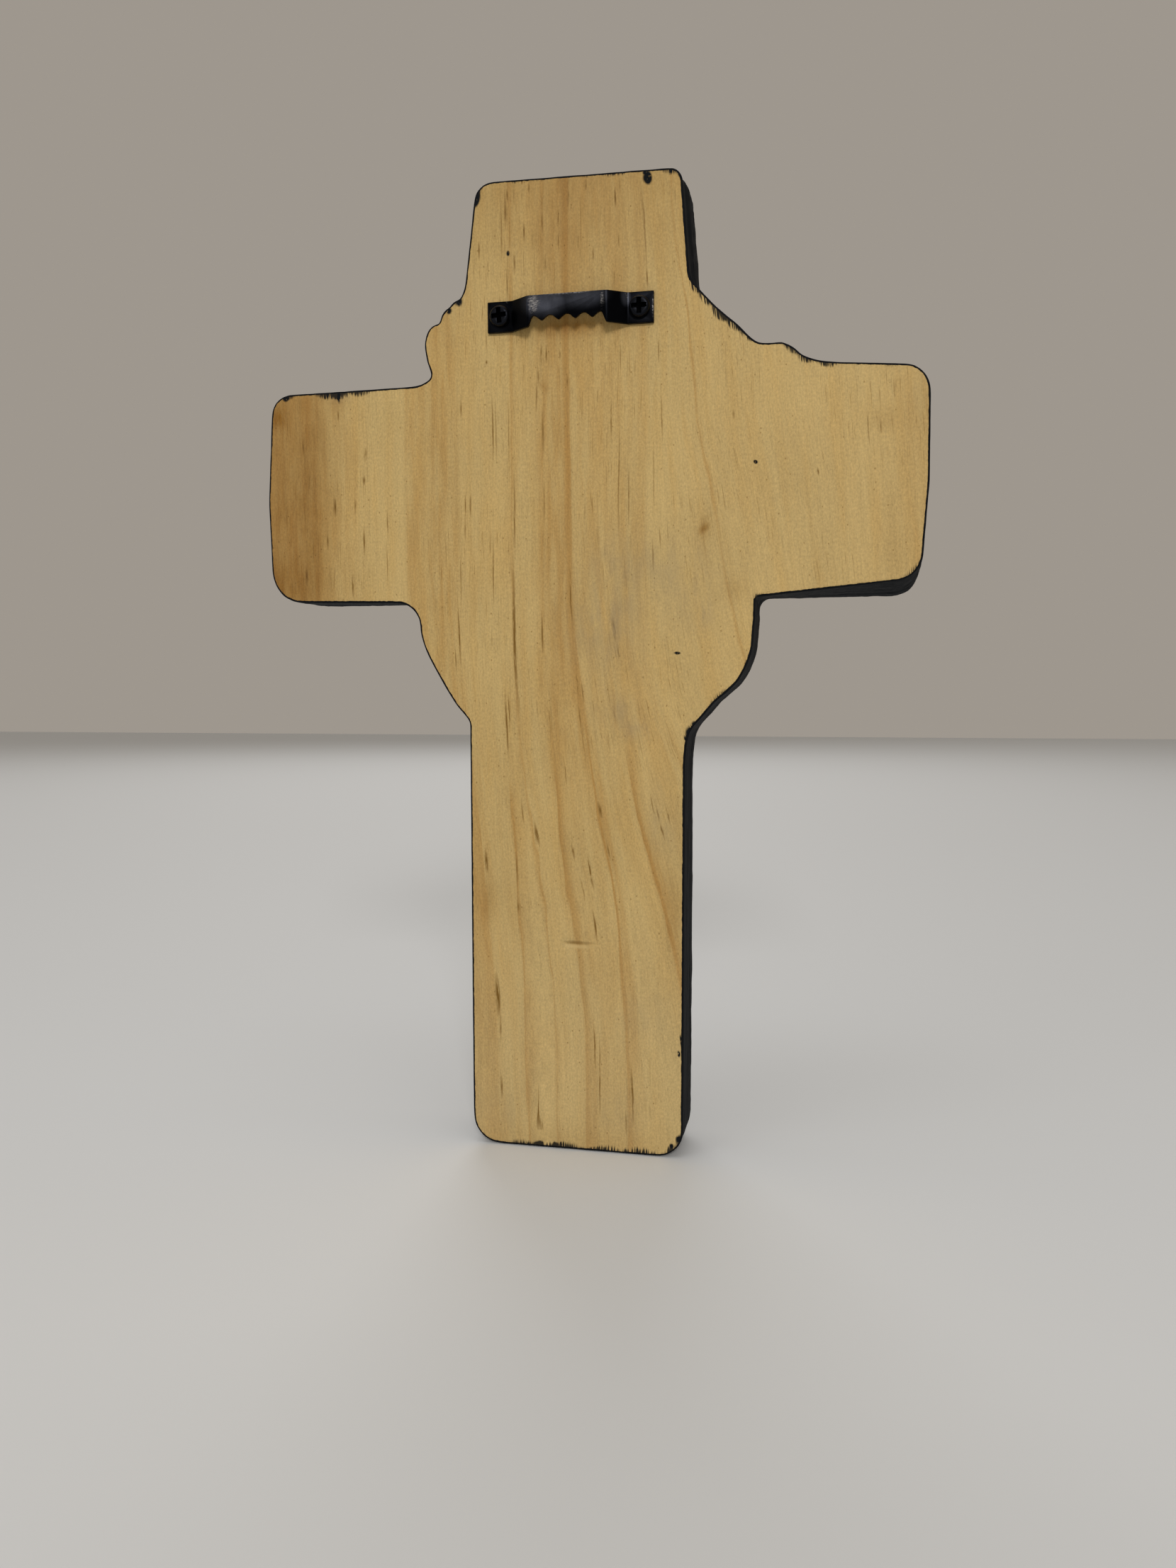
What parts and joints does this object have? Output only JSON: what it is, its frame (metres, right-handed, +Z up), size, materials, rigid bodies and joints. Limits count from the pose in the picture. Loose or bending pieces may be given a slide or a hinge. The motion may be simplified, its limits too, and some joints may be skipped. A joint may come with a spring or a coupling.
{
  "type": "wall cross",
  "caption": "Wooden wall cross with a lobed outline round the crossing, black painted edges and front, and a sawtooth hanger screwed to its bare back.",
  "frame": {"origin": "root of the middle notch in the sawtooth hanger's lower edge, where the wall nail bears, in the middle of the strip's thickness", "axes": "+Z up as the cross hangs, -Y out of the painted front, +Y out of the bare back towards the wall"},
  "size_m": [0.1809, 0.029, 0.2635],
  "materials": {
    "pine_board": "bare sanded pine on the back, black satin paint on the edges and the front",
    "black_steel": "blackened steel, rubbed bright on the bends"
  },
  "bodies": {
    "root": {"cross_board": "pine_board", "sawtooth_hanger": "black_steel", "hanger_screw_left": "black_steel", "hanger_screw_right": "black_steel"}
  },
  "joints": []
}
